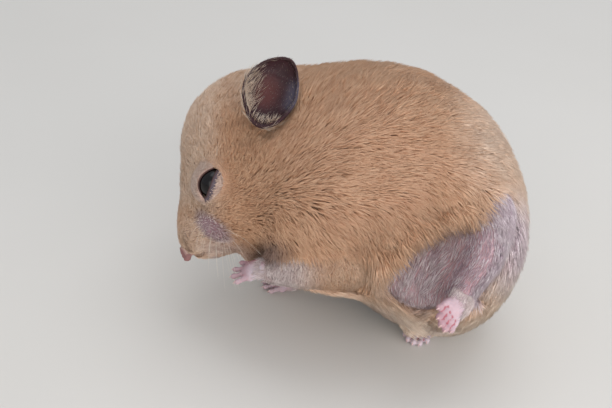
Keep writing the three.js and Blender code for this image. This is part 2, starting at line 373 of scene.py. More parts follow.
eye_centres = [to_animal(np.array((low + high) / 2)[None])[0] for low, high in eye_boxes]
EYE_RADIUS = 3.3
EYE = np.array((EYE_X, -abs(eye_centres[0][1]), EYE_Z))
LIMBS = {
    "foreleg_left": ((-1, -17.5, -12, 6), (-8, -18.5, -13.8, 4.3), (-16.8, -14.5, -14.8, 3)),
    "foreleg_right": ((-1, 15, -11, 6), (-4, 18, -17, 4.4), (*over_floor(-8.4, 6.6, 3), 2.7)),
    "shank_left": ((31.5, -20.5, -1.5, 4.4), (29.6, -22, -9, 3.6), (25, -20.5, -17.2, 2.9)),
    "shank_right": ((*over_floor(12, 4, 7), 5.5), (*over_floor(23.6, 0, 5), 3.4)),
    "tail": ((31, 4, -15, 3.4), (35.6, 7, -20.5, 2.3), (34.6, 9, -26, 1.4)),
}
PAW_CHAINS = {}
for name, (shape, place) in PAWS.items():
    heel, tip = place @ Vector((-shape["heel"] / 2, 0, 1.2)), place @ Vector((7.4, 0, 0.9))
    PAW_CHAINS[name] = ((*heel, 2.0), (*(heel.lerp(tip, 0.5)), 2.9), (*tip, 2.6))


def region(points):
    """How far each point belongs to each kind of surface, from 0 to 1."""
    folded = left_hand(points)
    paw = np.max([fade(limb_distance(points, *c), 0.3, 1.8) for c in PAW_CHAINS.values()], axis=0)
    limb = np.max(
        [fade(limb_distance(points, *LIMBS[n][(1 if n == "foreleg_right" else 0) :]), 0.3, 2.4)
         for n in LIMBS], axis=0
    )
    nose = fade(egg_distance(points, (-37.9, 0, -12.9), (2.1, 2.3, 2.1)), 0.0, 0.8)
    face = fade(egg_distance(points, (-34, 0, -2), (13, 18, 20)), 0, 12)
    muzzle = fade(egg_distance(points, (-36, 0, -9), (7, 8, 8)), 0, 5)
    eye = fade(np.linalg.norm(folded - EYE, axis=1), EYE_RADIUS + 0.3, EYE_RADIUS + 4.2)
    crown = fade(egg_distance(points, (-23, 0, 20), (12, 14, 12)), 0, 10)
    groin = fade(egg_distance(points, (17.2, -27, -15.6), (18, 10.5, 9.0), -42), -0.5, 2.5)
    ear = fade(egg_distance(folded, (-15.8, -17.6, 22), (5, 3.4, 7), 16), 0, 3)
    return dict(paw=paw, limb=limb, nose=nose, face=face, muzzle=muzzle, eye=eye, crown=crown,
                groin=groin, ear=ear)


def coat_depth(points, kinds):
    """How thick the coat lies over the flesh, in mm."""
    depth = np.full(len(points), 2.3)
    for kind, thick in (
        ("crown", 1.7), ("face", 1.15), ("muzzle", 0.75), ("ear", 1.2), ("limb", 0.75),
        ("groin", 0.45), ("eye", 0.15), ("nose", 0.0), ("paw", 0.0),
    ):
        depth += (thick - depth) * kinds[kind]
    return depth


def neighbour_means(mesh):
    """A function that gives the mean of each point's neighbours on this mesh."""
    edges = read(mesh.edges, "vertices", 2).astype(int)
    count = len(mesh.vertices)
    links_at = np.maximum(np.bincount(edges.ravel(), minlength=count), 1)[:, None]

    def means(points):
        total = [
            np.bincount(edges[:, 0], points[edges[:, 1], k], count)
            + np.bincount(edges[:, 1], points[edges[:, 0], k], count)
            for k in range(3)
        ]
        return np.stack(total, 1) / links_at

    return means


body_means = neighbour_means(skin_mesh)
body_count = len(skin_mesh.vertices)


def relax(points, strength, rounds):
    """Each point moved toward the mean of its neighbours by its own strength."""
    for _ in range(rounds):
        points = points + (body_means(points) - points) * strength[:, None]
    return points


skin_points = to_animal(read(skin_mesh.vertices, "co", 3) * MM)
kinds = region(skin_points)
fine = np.maximum.reduce([kinds["paw"], kinds["nose"], kinds["eye"] * 0.8])
skin_points = relax(skin_points, 0.55 * (1 - 0.72 * fine), 8)
skin_points = relax(skin_points, 0.55 * (1 - fine) * (1 - 0.7 * kinds["muzzle"]), 22)
write_places(skin_mesh, to_row(skin_points))
outward = read(skin_mesh.vertex_normals, "vector", 3) @ TURN
kinds = region(skin_points)
depth = coat_depth(skin_points, kinds)
skin_points = skin_points - outward * (depth + SWELL)[:, None]
skin_points = relax(skin_points, 0.5 * (1 - fine) * (1 - 0.7 * kinds["muzzle"]), 10)

# The nose pad has two comma-shaped nostrils and a split below, and the lips meet in a shallow line.
folded = left_hand(skin_points)
nostril = fade(egg_distance(folded, (-38.4, -1.25, -11.9), (1.6, 0.62, 0.5), 35), -0.2, 0.5)
split = fade(np.abs(skin_points[:, 1]), 0.1, 0.8) * fade(skin_points[:, 2], -13.2, -12.2)
split *= fade(skin_points[:, 0], -35.5, -34)
seam = (skin_points - np.array((-34.8, 0, -12.2))) @ np.array((0.406, 0, -0.914))
lips = fade(np.abs(seam), 0.1, 0.9) * fade(skin_points[:, 0], -27, -24) * (1 - 0.6 * kinds["nose"])
lips *= fade(skin_points[:, 2], -6, -3)
write_places(skin_mesh, to_row(skin_points))
outward = read(skin_mesh.vertex_normals, "vector", 3) @ TURN
dent = 1.1 * nostril + 0.55 * split + 0.7 * lips
skin_points = to_row(skin_points - outward * dent[:, None])
skin_points[:, 2] = np.maximum(skin_points[:, 2], 0.00005)
write_places(skin_mesh, skin_points)

# ---------------- ears
# Thin cups of nearly bare skin, their mouths turned outward and a little forward. A cross fold
# dips the tip, and a ridge runs down the inside of the back edge. They are part of the one skin.

def ear_surface(point):
    """Where a point of a unit ball lies on the ear's outer wall, with its folds."""
    x, y, z = point
    narrow = 1 + 0.16 * z if z < 0 else 1
    X, Y, Z = x * EAR["width"] * narrow, y * EAR["depth"], z * EAR["height"]
    if z > 0:
        X += 1.7 * z * z * (1 if x < 0 else 1 - 0.75 * x)  # the tip leans back
    Y -= 0.6 * math.exp(-(((Z - 4.3 + 0.18 * X) / 0.8) ** 2)) * max(0, 1 - abs(X) / 6)
    Y -= 0.16 * max(0, Z - 4.8) ** 1.2
    ridge = (X - 1.4 + 0.25 * Z + 0.12 * Z * Z) / 2.0
    Y -= 0.10 * math.exp(-(ridge**2)) * math.exp(-((Z / 4.0) ** 2))
    if X > 3.2:
        Y += 0.16 * (X - 3.2) ** 1.5  # the back edge rolls away
    return Vector((X, Y, Z))


def in_order(shape):
    """The same shape with its points and faces in one fixed order, which a cut doesn't give."""
    corner = {vert: tuple(round(c, 6) for c in vert.co) for vert in shape.verts}
    points = sorted(corner.values())
    index = {point: i for i, point in enumerate(points)}
    rings = []
    for face in shape.faces:
        ring = [index[corner[vert]] for vert in face.verts]
        first = ring.index(min(ring))
        rings.append(ring[first:] + ring[:first])
    ordered = bmesh.new()
    verts = [ordered.verts.new(point) for point in points]
    for ring in sorted(rings):
        ordered.faces.new([verts[i] for i in ring])
    shape.free()
    return ordered


def ear_shell():
    """The ear as a closed cup, with a thin rim and a thicker base."""
    ear = bmesh.new()
    bmesh.ops.create_uvsphere(ear, u_segments=72, v_segments=48, radius=1)
    everything = ear.verts[:] + ear.edges[:] + ear.faces[:]
    bmesh.ops.bisect_plane(
        ear, geom=everything, plane_co=(0, -0.14, 0), plane_no=(0, -1, 0), clear_outer=True
    )
    ear = in_order(ear)
    for vert in ear.verts:
        vert.co = ear_surface(vert.co)
    ear.normal_update()
    outer = ear.faces[:]
    rim = [edge for edge in ear.edges if edge.is_boundary]
    rim_points = [vert.co.copy() for vert in ear.verts if vert.is_boundary][::6]
    thick = {}
    for vert in ear.verts:
        span = min(1, min((vert.co - point).length for point in rim_points) / 5)
        thick[vert] = EAR["rim"] + (EAR["base"] - EAR["rim"]) * span
    made = bmesh.ops.duplicate(ear, geom=ear.verts[:] + ear.edges[:] + outer)
    inner = [f for f in made["geom"] if isinstance(f, bmesh.types.BMFace)]
    for old, wall in thick.items():
        new = made["vert_map"][old]
        new.co.x *= 1 - wall / EAR["width"]
        new.co.z *= 1 - wall / EAR["height"]
        new.co.y -= wall * min(1, max(0, new.co.y / EAR["depth"] + 0.1))
    bmesh.ops.reverse_faces(ear, faces=inner)
    inner_rim = [e for e in made["geom"] if isinstance(e, bmesh.types.BMEdge) and e.is_boundary]
    bmesh.ops.bridge_loops(ear, edges=rim + inner_rim)
    bmesh.ops.recalc_face_normals(ear, faces=ear.faces)
    return ear


# ---------------- lids
# Two soft lids drawn half shut over each eye, which leave an almond opening. Their rims are bare,
# rounded and a little proud of the eyeball. They are part of the one skin.

SLIT_LONG, SLIT_FRONT, SLIT_BACK = 3.6, 1.9, 0.8
SLIT_SKEW = 0.3  # the opening is fuller toward its lower end
LID_RADIUS = 3.62
LID_REACH = 5.0
eye_out = Vector((-0.22, -0.96, 0.10)).normalized()
eye_up = Vector((0.39, 0, 0.92))
eye_up = (eye_up - eye_out * eye_up.dot(eye_out)).normalized()
eye_back = eye_up.cross(eye_out)
eye_frame = Matrix.Translation(EYE) @ Matrix((eye_up, eye_back, eye_out)).transposed().to_4x4()


def wrapped_grid(columns, rows, place):
    """A grid rolled round and closed both ways, each corner put where place(u, v) says."""
    mesh = bmesh.new()
    bmesh.ops.create_grid(mesh, x_segments=columns, y_segments=rows, size=0.5)
    for vert in mesh.verts:
        vert.co = place(vert.co.x + 0.5, vert.co.y + 0.5)
    bmesh.ops.remove_doubles(mesh, verts=mesh.verts, dist=1e-4)
    bmesh.ops.recalc_face_normals(mesh, faces=mesh.faces)
    return mesh


# Across the lid: how far from the slit to the outer edge, and how far off the dome it lies.
LID_PROFILE = (
    (0.0, -0.62), (0.0, -0.24), (0.015, -0.04), (0.05, 0.10), (0.10, 0.13), (0.17, 0.06),
    (0.27, 0.0), (0.40, 0.0), (0.55, 0.0), (0.70, 0.0), (0.85, 0.0), (1.0, 0.0), (0.9, -2.2),
    (0.35, -3.2), (0.0, -0.62),
)


def lid_place(u, v):
    """Where a lid's point lies: u runs round the slit, v across LID_PROFILE."""
    turn = 2 * math.pi * u
    step = v * (len(LID_PROFILE) - 1)
    reach, off = LID_PROFILE[int(round(step))]
    a = SLIT_LONG * math.cos(turn)
    wide = SLIT_BACK if math.sin(turn) > 0 else SLIT_FRONT
    b = math.copysign(wide * abs(math.sin(turn)) ** 1.5, math.sin(turn))
    b *= 1 - SLIT_SKEW * math.cos(turn)
    a += (LID_REACH * math.cos(turn) - a) * reach
    b += (LID_REACH * math.sin(turn) - b) * reach
    r = math.hypot(a, b)
    dome = math.sqrt(LID_RADIUS**2 - min(r, 3.0) ** 2) - max(0, r - 3.0) * 0.9
    fold = 0.14 * math.exp(-(((r - 3.35) / 0.3) ** 2))
    return Vector((a, b, dome + off - fold))


whole_skin = bmesh.new()
whole_skin.from_mesh(skin_mesh)
ear_shape = ear_shell()
lid_shape = wrapped_grid(56, len(LID_PROFILE) - 1, lid_place)
bmesh.ops.reverse_faces(lid_shape, faces=lid_shape.faces)  # the eye's own frame is left-handed
PAW_VOXEL = 0.2
PAW_SMOOTHINGS = 5
OFF_FLOOR = 0.02
for paw, place in PAWS.values():
    shape = bmesh.new()
    paw_flesh(shape, paw, STANCE @ place)
    paw_mesh = cast_whole(shape, PAW_VOXEL)
    shape = bmesh.new()
    shape.from_mesh(paw_mesh)
    bpy.data.meshes.remove(paw_mesh)
    for _ in range(PAW_SMOOTHINGS):
        bmesh.ops.smooth_vert(
            shape, verts=shape.verts, factor=0.5, use_axis_x=True, use_axis_y=True, use_axis_z=True
        )
    for vert in shape.verts:
        vert.co.z = max(vert.co.z, OFF_FLOOR)
    bmesh.ops.scale(shape, vec=(MM, MM, MM), verts=shape.verts)
    join_shape(whole_skin, shape)
for _, side in SIDES:
    for shape, place in ((ear_shape, ear_place), (lid_shape, eye_frame)):
        copy = shape.copy()
        bmesh.ops.transform(
            copy, matrix=Matrix.Scale(MM, 4) @ STANCE @ side @ place, verts=copy.verts
        )
        if side is MIRROR:
            bmesh.ops.reverse_faces(copy, faces=copy.faces)
        join_shape(whole_skin, copy)
ear_shape.free()
lid_shape.free()
whole_skin.to_mesh(skin_mesh)
whole_skin.free()
skin_mesh.polygons.foreach_set("use_smooth", [True] * len(skin_mesh.polygons))
skin = new_piece("skin", skin_mesh)
skin_points = to_animal(read(skin_mesh.vertices, "co", 3))
outward = read(skin_mesh.vertex_normals, "vector", 3) @ TURN
kinds = region(skin_points)

# ---------------- markings and painted shade
# Golden coat, paler on the brow, rump and belly, lavender-white on the legs. The bare skin is rosy
# on the paws, nose, whisker pads and groin, and almost black on the ears. The same four masks
# colour the skin and every tuft: how pale, how rosy, how dusky and how dark as an ear. The dusky
# mask also carries painted shade: in the hollow below the cheek, under the flank's fringe, along
# the belly, under the hind foot, over the middle of the flank and in the clefts between the toes.
# The pale mask also carries a painted sheen on the ears and, in part, a painted highlight on the
# back of the hind foot.


def soft_blot(points, centre, radii, edge, turn=0.0):
    """An egg-shaped mask that fades over its edge, in mm."""
    return fade(egg_distance(points, centre, radii, turn), -edge, edge)


def local_to(points, place):
    """Points of the animal's frame in the frame of a part that stands in it."""
    turn = np.array(place.inverted())
    return points @ turn[:3, :3].T + turn[:3, 3]


# The ears, lids and paws were added after the body, so their points are the later ones.
body = np.arange(len(skin_points)) < body_count
folded = left_hand(skin_points)
ear_points = local_to(folded, ear_place)
ear_facing = outward * np.where(skin_points[:, 1:2] > 0, (1, -1, 1), 1)
ear_facing = ear_facing @ np.array(ear_place.inverted())[:3, :3].T
ear_reach = np.linalg.norm(ear_points / (8.6, 6.0, 11.0), axis=1)
kinds["pinna"] = (~body & (ear_reach < 1)).astype(float)
eye_points = local_to(folded, eye_frame)
slit_side = np.where(eye_points[:, 1] > 0, SLIT_BACK, SLIT_FRONT)
slit_half = slit_side * np.sqrt(np.maximum(0, 1 - (eye_points[:, 0] / SLIT_LONG) ** 2)) ** 1.5
slit_half *= 1 - SLIT_SKEW * (eye_points[:, 0] / SLIT_LONG).clip(-1, 1)
slit_gap = np.hypot(
    np.maximum(0, np.abs(eye_points[:, 0]) - SLIT_LONG), np.abs(eye_points[:, 1]) - slit_half
)
kinds["lid"] = (~body & (np.linalg.norm(folded - EYE, axis=1) < 6.5)).astype(float)


# Blots of colour: how strong, where, how big, how soft and how far turned. Those of BLOTS_BOTH lie
# on both sides of the head.
PAD = ((-30.0, -10.5, -5.7), (4.2, 7, 2.5), 0.9, 34)  # where the whiskers grow
LIP = ((-31.2, -3, -13.2), (1.6, 4, 0.9), 0.4)
UNDER_FOOT = ((20, -16, -29), (8, 9, 6), 2)
BLOTS_BOTH = dict(
    pale=((0.35, (-24, -8, 26), (9, 12, 7), 4), (0.55, (-34, -5, -9), (5, 9, 7), 2.5)),
    rosy=((1.0, *PAD), (1.0, *LIP), (0.35, (-27.5, -8, -11), (6, 7, 3), 1.5)),
    dusky_and_shade=((0.16, *PAD), (0.5, *LIP)),
)
BLOTS = dict(
    pale=(
        (0.6, (32, -4, 14), (13, 30, 13), 6),
        (0.95, (40, -6, -10), (11, 32, 22), 7),
        (0.3, (3, -25, -14), (10, 10, 5), 3),
    ),
    rosy=((0.45, *UNDER_FOOT), (0.85, (39, -19, -5), (8, 12, 10), 5)),
    # The dusky blots here are painted shade: two under the flank's fringe above the groin, one along
    # the belly's underside, one under the hind foot and a faint one over the middle of the flank.
    dusky_and_shade=(
        (0.75, (24, -28, -3), (10, 6, 3.0), 2, -40),
        (0.5, (17, -27, -9), (17, 8, 2.6), 2, -42),
        (0.5, (2, 4, -22.5), (11, 24, 4), 1.5),
        (0.42, *UNDER_FOOT),
        (0.17, (4, -25, 4), (22, 14, 15), 8),
    ),
)


def markings(points, kinds):
    """The four masks at each point, each the strongest of its blots there."""
    folded = left_hand(points)
    x, y, z = points.T
    near_limb = {name: limb_distance(points, *chain) for name, chain in LIMBS.items()}
    arm = np.minimum(near_limb["foreleg_left"], near_limb["foreleg_right"])
    arm = fade(arm, 0.3, 2.0) * np.where(y > 0, fade(x, -6, -1), fade(x, -13, -1))
    leg = fade(np.minimum(near_limb["shank_left"], near_limb["shank_right"]), 0.3, 2.2)
    brow = fade(x, -32, -25) * fade(z, 0, -6)
    belly_sides = fade(z, -22, -14) * fade(np.abs(y), 10, 22)
    # Painted shade in the hollow between the cheek and the chest.
    throat_shade = fade(z, -11.5, -14) * soft_blot(points, (-15.5, -7, -9.8), (8, 14, 4.2), 2.0, -38)
    masks = dict(
        pale=[0.58 * brow, 0.9 * belly_sides, arm],
        rosy=[kinds["paw"], 0.3 * kinds["nose"], 0.85 * kinds["groin"], 0.95 * leg, 0.6 * arm,
              0.6 * fade(near_limb["tail"], -0.8, 0.8)],
        dusky_and_shade=[throat_shade, 0.75 * kinds["nose"], 0.2 * kinds["groin"]],
    )
    for mask, spots in masks.items():
        for where, rows in ((folded, BLOTS_BOTH[mask]), (points, BLOTS[mask])):
            spots += [strength * soft_blot(where, *blot) for strength, *blot in rows]
    return np.stack([np.max(s, axis=0) for s in masks.values()] + [kinds["pinna"]], 1).clip(0, 1)


marks = markings(skin_points, kinds)
PAW_BOX = (9.5, 6, 6)  # half the room round a paw's middle
foot_points = local_to(skin_points, PAWS["hind_foot_left"][1])
foot_back = ~body & (kinds["paw"] > 0.5) & (np.abs(foot_points) < PAW_BOX).all(axis=1)
# The back of the hind foot is painted paler: partly its whiter skin, partly a painted highlight.
foot_pale_and_highlight = 0.8 * fade(foot_points[:, 2], 2.2, 0.6) * fade(foot_points[:, 0], 1.0, 8.0) + 0.1
marks[foot_back, 0] = foot_pale_and_highlight[foot_back].clip(0, 1)
pinna = kinds["pinna"] > 0.5
ear_x, ear_z = ear_points[:, 0], ear_points[:, 2]
ear_red = fade(np.hypot((ear_x + 0.8) / 1.1, (ear_z - 0.5) / 1.5), 1.0, 3.6)
# A painted blue-grey sheen toward the back edge of the ear.
painted_ear_sheen = fade(ear_x, 5.0, 2.6) * fade(np.abs(ear_z - 1.0), 1.5, 5.0)
marks[pinna, 0] = 0.8 * painted_ear_sheen[pinna]
marks[pinna, 1] = 0.9 * ear_red[pinna]
lid = kinds["lid"] > 0.5
rim = fade(slit_gap[lid], 0.1, 0.75)
marks[lid, 0] = 0.7 * (1 - rim)
marks[lid, 1:3] = 0.0
marks[lid, 3] = 0.95 * np.where(
    eye_points[lid, 1] > 0, fade(slit_gap[lid], 1.0, 1.9), fade(slit_gap[lid], 0.15, 0.6)
)


def write_colours(mesh, name, values):
    """Four values for each corner point of a mesh, which its material reads by name."""
    layer = mesh.color_attributes.new(name, "FLOAT_COLOR", "POINT")
    layer.data.foreach_set("color", values.astype(np.float32).ravel())


# Painted shade: the clefts between toes are darkened to a deep red, each paw's hollows found from
# its shape.
hollow = np.sum((neighbour_means(skin_mesh)(skin_points) - skin_points) * outward, axis=1)
cleft_shade = fade(hollow, 0.012, 0.0) * ~body * (kinds["paw"] > 0.3)
marks[:, 2] = np.maximum(marks[:, 2], 0.8 * cleft_shade)
write_colours(skin_mesh, "marks", marks)

# An unwrap of the skin's own shape, which the coat's tufts share.
bpy.context.view_layer.objects.active = skin
skin.select_set(True)
bpy.ops.object.mode_set(mode="EDIT")
bpy.ops.mesh.select_all(action="SELECT")
bpy.ops.uv.smart_project(angle_limit=math.radians(66), island_margin=0.003)
bpy.ops.object.mode_set(mode="OBJECT")
skin_mesh.uv_layers[0].name = "OFBake"


def feed(links, value, socket):
    """A socket fed by another socket, or set to a colour or number."""
    if hasattr(value, "links"):
        links.new(value, socket)
    else:
        socket.default_value = value


def mix(nodes, links, fac, a, b, kind="MIX"):
    """A colour mix node. Each of the three inputs is a socket, a colour or a number."""
    node = nodes.new("ShaderNodeMix")
    node.data_type = "RGBA"
    node.blend_type = kind
    for socket, value in ((node.inputs[0], fac), (node.inputs[6], a), (node.inputs[7], b)):
        feed(links, value, socket)
    return node.outputs[2]


def maths(nodes, links, operation, a, b=0.0, c=0.0):
    """The value of a math node. Each input is a socket or a number."""
    node = nodes.new("ShaderNodeMath")
    node.operation = operation
    for socket, value in zip(node.inputs, (a, b, c)):
        feed(links, value, socket)
    return node.outputs[0]


def noise(nodes, links, vector, scale, detail=3.0, rough=0.55):
    """The value of a noise texture over these coordinates."""
    node = nodes.new("ShaderNodeTexNoise")
    set_inputs(node, {"Scale": scale, "Detail": detail, "Roughness": rough})
    links.new(vector, node.inputs["Vector"])
    return node.outputs["Fac"]


# The markings as paint: each mask lays its own colour over the golden ground. The dusky colours also
# lay painted shade, and pale a painted sheen on the ears.
hamster_colours = bpy.data.node_groups.new("hamster colours", "ShaderNodeTree")
given_sockets = (("Marks", "Color", (0, 0, 0, 1)), ("Ear", "Float", 0.0), ("Patch", "Float", 0.5))
for name, kind, value in given_sockets:
    hamster_colours.interface.new_socket(
        name, in_out="INPUT", socket_type="NodeSocket" + kind
    ).default_value = value
for name in ("Hair", "Root", "Streak", "Skin"):
    hamster_colours.interface.new_socket(name, in_out="OUTPUT", socket_type="NodeSocketColor")
nodes, links = hamster_colours.nodes, hamster_colours.links
given, result = nodes.new("NodeGroupInput"), nodes.new("NodeGroupOutput")
split_marks = nodes.new("ShaderNodeSeparateColor")
links.new(given.outputs["Marks"], split_marks.inputs[0])
pale, rosy, dusky_and_shade = split_marks.outputs
patch, ear = given.outputs["Patch"], given.outputs["Ear"]
hair = mix(nodes, links, patch, paint("#C8956B"), paint("#D9AE85"))
hair = mix(nodes, links, pale, hair, paint("#EEE0D0"))
hair = mix(nodes, links, rosy, hair, paint("#EAE3EA"))
# The dusky hair colour is partly its own dark tone and partly painted shade.
hair = mix(nodes, links, dusky_and_shade, hair, paint("#6B443A"))
ear_hair = mix(nodes, links, pale, paint("#54484A"), paint("#C9BDAE"))
hair = mix(nodes, links, ear, hair, ear_hair)
root_shade = mix(nodes, links, pale, paint("#E6CDBA"), paint("#F0E4DA"))
root_shade = mix(nodes, links, rosy, root_shade, paint("#DCD0DA"))
streaked = mix(nodes, links, rosy, paint("#E0D0C4"), paint("#AC98A4"))
links.new(hair, result.inputs["Hair"])
links.new(streaked, result.inputs["Streak"])
links.new(mix(nodes, links, 1.0, hair, root_shade, "MULTIPLY"), result.inputs["Root"])
flesh = mix(nodes, links, patch, paint("#C2987A"), paint("#CFA688"))
rosy_skin = mix(nodes, links, patch, paint("#9E8187"), paint("#B59CA2"))
flesh = mix(nodes, links, rosy, flesh, rosy_skin)
# Paler skin where the pale mask is, which on the back of the hind foot is partly a painted
# highlight.
paler_skin_and_highlight = maths(nodes, links, "MULTIPLY", pale, 0.6)
flesh = mix(nodes, links, paler_skin_and_highlight, flesh, paint("#D9D0D6"))
# Dusky skin: the red of the lips, and painted shade in hollows, red in the toe clefts and grey-brown
# under the fur.
dusky_and_shade_skin = mix(nodes, links, rosy, paint("#4C3C3E"), paint("#A0454E"))
flesh = mix(nodes, links, dusky_and_shade, flesh, dusky_and_shade_skin)
ear_skin = mix(nodes, links, patch, paint("#151013"), paint("#241A1E"))
ear_skin = mix(nodes, links, rosy, ear_skin, paint("#4A2925"))
# On the ears, pale lays a painted blue-grey sheen; on the lids' rims it gives their own
# grey-lavender.
ear_skin = mix(nodes, links, pale, ear_skin, paint("#474C5A"))
links.new(mix(nodes, links, ear, flesh, ear_skin), result.inputs["Skin"])


def marked(nodes, links, patch_scale):
    """The colour group fed with this piece's markings, and the piece's own coordinates."""
    attribute = nodes.new("ShaderNodeAttribute")
    attribute.attribute_name = "marks"
    place = nodes.new("ShaderNodeTexCoord")
    colours = nodes.new("ShaderNodeGroup")
    colours.node_tree = hamster_colours
    links.new(attribute.outputs["Color"], colours.inputs["Marks"])
    links.new(attribute.outputs["Alpha"], colours.inputs["Ear"])
    links.new(noise(nodes, links, place.outputs["Object"], patch_scale), colours.inputs["Patch"])
    return colours, place.outputs["Object"]


# Skin: finely creased, a little damp-looking, and slightly soft under the surface.
skin_material, nodes, links, shader = new_material("hamster skin")
colours, spot = marked(nodes, links, 420)
pores = nodes.new("ShaderNodeTexVoronoi")
set_inputs(pores, {"Scale": 1900})
links.new(spot, pores.inputs["Vector"])
creases = noise(nodes, links, spot, 900, 5, 0.7)
relief = maths(nodes, links, "MULTIPLY_ADD", pores.outputs["Distance"], 0.5, creases)
bump = nodes.new("ShaderNodeBump")
set_inputs(bump, {"Strength": 0.6, "Distance": 0.0002})
links.new(relief, bump.inputs["Height"])
links.new(bump.outputs["Normal"], shader.inputs["Normal"])
blotch = maths(nodes, links, "MULTIPLY", creases, 0.25)
blotched = mix(nodes, links, blotch, colours.outputs["Skin"], paint("#7C4B4E"))
links.new(blotched, shader.inputs["Base Color"])
links.new(maths(nodes, links, "MULTIPLY_ADD", creases, 0.25, 0.36), shader.inputs["Roughness"])
set_inputs(shader, {"Specular IOR Level": 0.14, "Subsurface Weight": 0.12})
set_inputs(shader, {"Subsurface Radius": (0.0012, 0.0006, 0.0004), "Subsurface Scale": 1.0})
skin_mesh.materials.append(skin_material)
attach(skin, "root")
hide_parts(*FLESH, *PAWS, "ear_left", "ear_right")

# ---------------- eyes
# Almost black beads with a clear wet front. Each is a ball that bulges a little at the cornea.

CORNEA_BULGE = 0.14


def mottled_material(name, scale, first, second):
    """A material of two colours, mottled on the piece's own coordinates, and its shader."""
    material, nodes, links, shader = new_material(name)
    place = nodes.new("ShaderNodeTexCoord")
    spots = noise(nodes, links, place.outputs["Object"], scale)
    links.new(mix(nodes, links, spots, paint(first), paint(second)), shader.inputs["Base Color"])
    return material, shader


def smooth_piece(name, shape, material):
    """A smoothly shaded piece made of this shape."""
    bmesh.ops.recalc_face_normals(shape, faces=shape.faces)
    mesh = bpy.data.meshes.new(name)
    shape.to_mesh(mesh)
    shape.free()
    mesh.polygons.foreach_set("use_smooth", [True] * len(mesh.polygons))
    mesh.materials.append(material)
    return new_piece(name, mesh)


eye_material, shader = mottled_material("hamster eye", 1800, "#040305", "#120D0C")
set_inputs(shader, {"Roughness": 0.22, "Specular IOR Level": 0.12})
set_inputs(shader, {"Coat Weight": 0.3, "Coat Roughness": 0.04})
for name, side in SIDES:
    eyeball = bmesh.new()
    bmesh.ops.create_icosphere(eyeball, subdivisions=5, radius=EYE_RADIUS)
    for vert in eyeball.verts:
        front = vert.co.normalized().z
        vert.co *= 1 + CORNEA_BULGE / EYE_RADIUS * max(0, (front - 0.72) / 0.28) ** 1.5
    bmesh.ops.transform(
        eyeball, matrix=Matrix.Scale(MM, 4) @ STANCE @ side @ eye_frame, verts=eyeball.verts
    )
    eye = smooth_piece("eyeball_" + name, eyeball, eye_material)
    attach(eye, "root")
    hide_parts("eye_" + name)

# ---------------- claws
# Short curved horn claws, mottled in two pinkish tones, one on each toe: four to a forepaw, five to
# a hind foot.

CLAW_SIDES, CLAW_CUTS = 8, 5
CLAW_ROOT, CLAW_TIP = 0.24, 0.03  # the claw's radius at each end
claw_material, shader = mottled_material("hamster claw", 1200, "#B58E88", "#D8BDB8")
set_inputs(shader, {"Roughness": 0.4})
for name, (shape, paw_place) in PAWS.items():
    claws = bmesh.new()
    for length, root in toe_frames(shape):
        claw = bmesh.new()
        reach = 1.1 if shape is HIND_FOOT else 0.95
        bmesh.ops.create_cone(
            claw, cap_ends=True, segments=CLAW_SIDES, radius1=CLAW_ROOT, radius2=CLAW_TIP,
            depth=reach,
        )
        sides = [e for e in claw.edges if abs(e.verts[0].co.z - e.verts[1].co.z) > 0.5 * reach]
        bmesh.ops.subdivide_edges(claw, edges=sides, cuts=CLAW_CUTS, use_grid_fill=True)
        for vert in claw.verts:
            along = vert.co.z / reach + 0.5
            vert.co.x *= 1.25
            vert.co.x += 0.5 * along * along
        # The cone stands along Z: it is laid forward, its curve turned down.
        lay = Matrix.Translation((length + shape["radius"] * 0.4 + reach / 2, 0, 0.3))
        lay = lay @ Matrix.Rotation(math.radians(90), 4, "Y")
        bmesh.ops.transform(claw, matrix=STANCE @ paw_place @ root @ lay, verts=claw.verts)
        join_shape(claws, claw)
    for vert in claws.verts:
        vert.co.z = max(vert.co.z, OFF_FLOOR)
    bmesh.ops.scale(claws, vec=(MM, MM, MM), verts=claws.verts)
    piece = smooth_piece("claws_" + name, claws, claw_material)
    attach(piece, "root")

# ---------------- coat
# Short soft fur: thin tapering tufts rooted in the skin, which follow its curves and the lie of
# the coat. It runs from the nose over the brow to the rump, fans out behind the cheek, hangs as a
# fringe along the flank, and is finest on the face and legs.

rng = np.random.default_rng(20)
# The lie of the coat: where on the animal, then which way the hair runs there. The rows of
# LIE_BOTH, all on the head, hold for both sides.
LIE_BOTH = (
    (-37, 0, -8, -0.1, 0, 1), (-38, 0, 4, 0.05, 0, 1), (-37, -5, 12, 0.15, 0, 1),
    (-34, 0, 20, 0.4, 0, 0.9), (-26, 0, 29, 0.85, 0, 0.5), (-14, 0, 31, 1, 0, 0.1),
    (-34, -7, -6, 0.55, -0.2, 0.6),
    (-36, -3, -11, 0.5, -0.3, 0.4), (-31, -9, -9, 0.7, -0.2, -0.3), (-28, -11, -3, 0.7, -0.2, 0.35),
    (-33, -10, 4, 0.25, -0.1, 1), (-33, -9, 12, 0.15, 0, 1), (-27, -13, 12, 0.3, -0.1, 1),
    (-23, -14, 3, 0.7, -0.2, 0.5), (-22, -15, 15, 0.35, -0.2, 0.9), (-19, -16, -3, 0.9, -0.3, 0.0),
    (-17, -16, 12, 0.55, -0.2, 0.8), (-22, -9, -10, 0.9, -0.2, -0.5), (-28, 0, -12, 0.9, 0, -0.3),
    (-22, -15, 26, 0.7, 0, 0.7),
)
